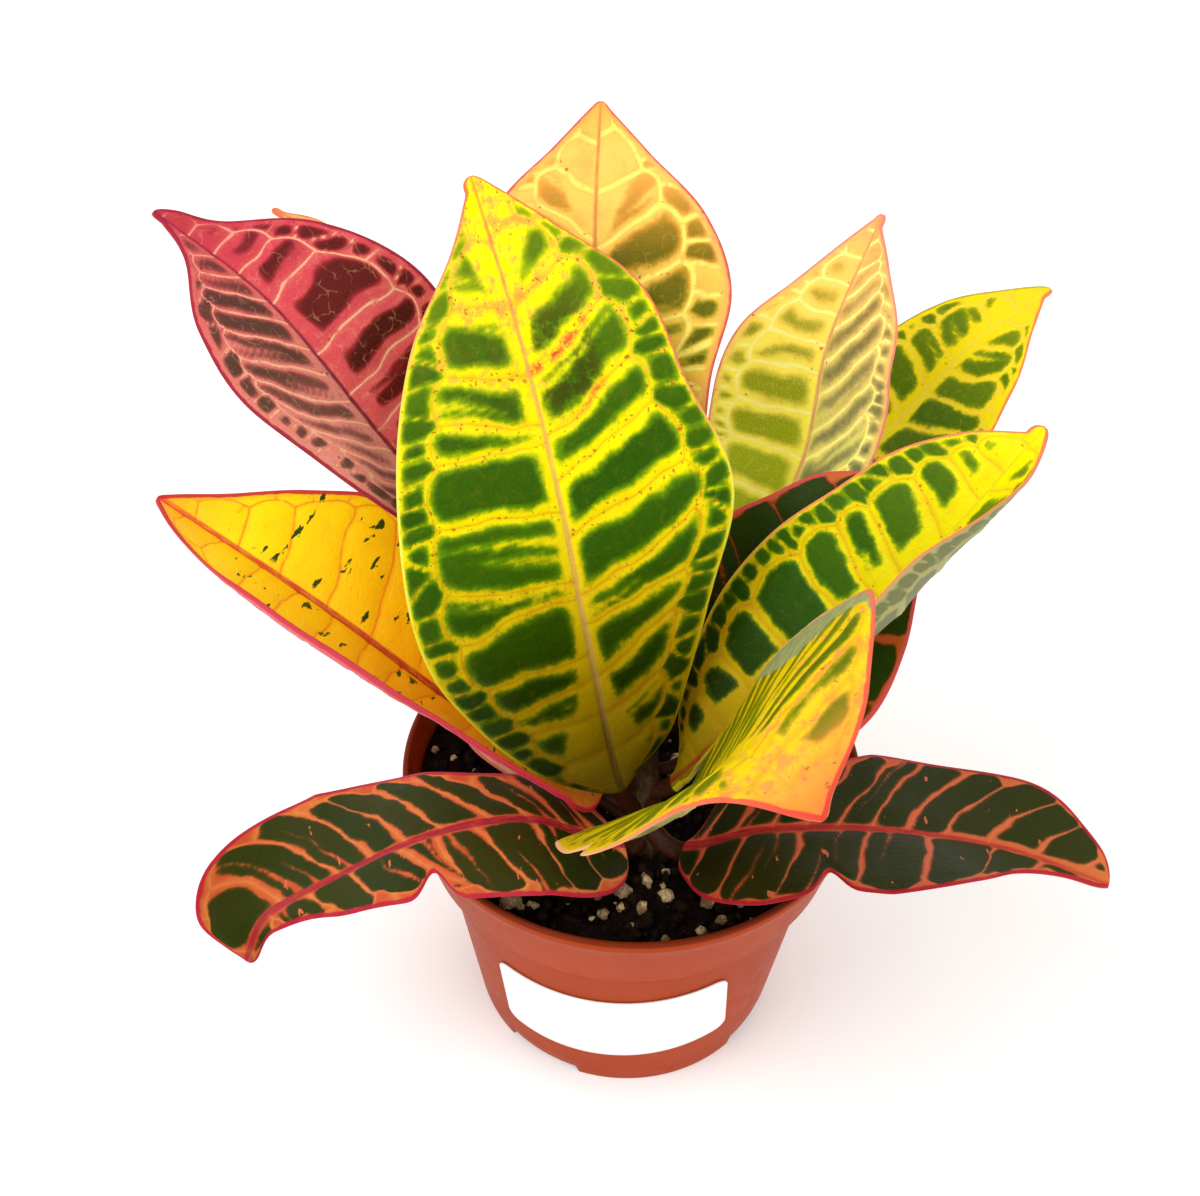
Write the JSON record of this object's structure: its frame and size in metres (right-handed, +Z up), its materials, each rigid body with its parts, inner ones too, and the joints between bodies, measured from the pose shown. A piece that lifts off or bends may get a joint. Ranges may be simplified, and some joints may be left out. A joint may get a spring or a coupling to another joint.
{
  "type": "potted croton",
  "caption": "Small croton house plant with broad variegated leaves on one short stem, growing in a round tapered nursery pot with a blank label.",
  "frame": {"origin": "on the plane that the pot's feet stand on, under the middle of the plant's box; the pot's axis stands 8.1 mm behind it", "axes": "+Z up, parallel to the pot's axis, -Y towards the front, where the label is, +X to the right of the front view"},
  "size_m": [0.193, 0.1844, 0.2023],
  "materials": {
    "pot": "terracotta-coloured moulded plastic with a soft sheen",
    "label": "blank white sticker",
    "soil": "dark moist peat with pale perlite grains",
    "stem": "brown bark",
    "tall_front_leaf": "waxy leaf, yellow veins round dark green blotches",
    "top_back_leaf": "waxy leaf, peach and yellow with olive blotches",
    "crimson_leaf": "waxy leaf, crimson with maroon blotches",
    "orange_yellow_leaf": "waxy leaf, golden yellow with crimson midrib",
    "upper_right_leaf": "waxy leaf, yellow veins round dark green blotches",
    "outer_right_leaf": "waxy leaf, yellow veins round dark green blotches",
    "rolled_right_leaf": "waxy leaf, yellow veins round dark green blotches",
    "near_leaf": "waxy leaf, yellow veins round dark green blotches",
    "low_left_leaf": "waxy leaf, dark green with coral veins",
    "low_right_leaf": "waxy leaf, dark green with coral veins",
    "shaded_right_leaf": "waxy leaf, near-black green with orange patches",
    "orange_tip_leaf": "waxy leaf, peach-orange",
    "small_orange_leaf": "waxy leaf, orange",
    "low_pale_leaf": "waxy leaf, cream with grey-green blotches",
    "back_leaf": "waxy leaf, yellow veins round dark green blotches",
    "back_left_leaf": "waxy leaf, yellow veins round dark green blotches"
  },
  "bodies": {
    "root": {"pot": "pot", "label": "label", "soil": "soil", "stem": "stem", "tall_front_leaf": "tall_front_leaf", "top_back_leaf": "top_back_leaf", "crimson_leaf": "crimson_leaf", "orange_yellow_leaf": "orange_yellow_leaf", "upper_right_leaf": "upper_right_leaf", "outer_right_leaf": "outer_right_leaf", "rolled_right_leaf": "rolled_right_leaf", "near_leaf": "near_leaf", "low_left_leaf": "low_left_leaf", "low_right_leaf": "low_right_leaf", "shaded_right_leaf": "shaded_right_leaf", "orange_tip_leaf": "orange_tip_leaf", "small_orange_leaf": "small_orange_leaf", "low_pale_leaf": "low_pale_leaf", "back_leaf": "back_leaf", "back_left_leaf": "back_left_leaf"}
  },
  "joints": []
}
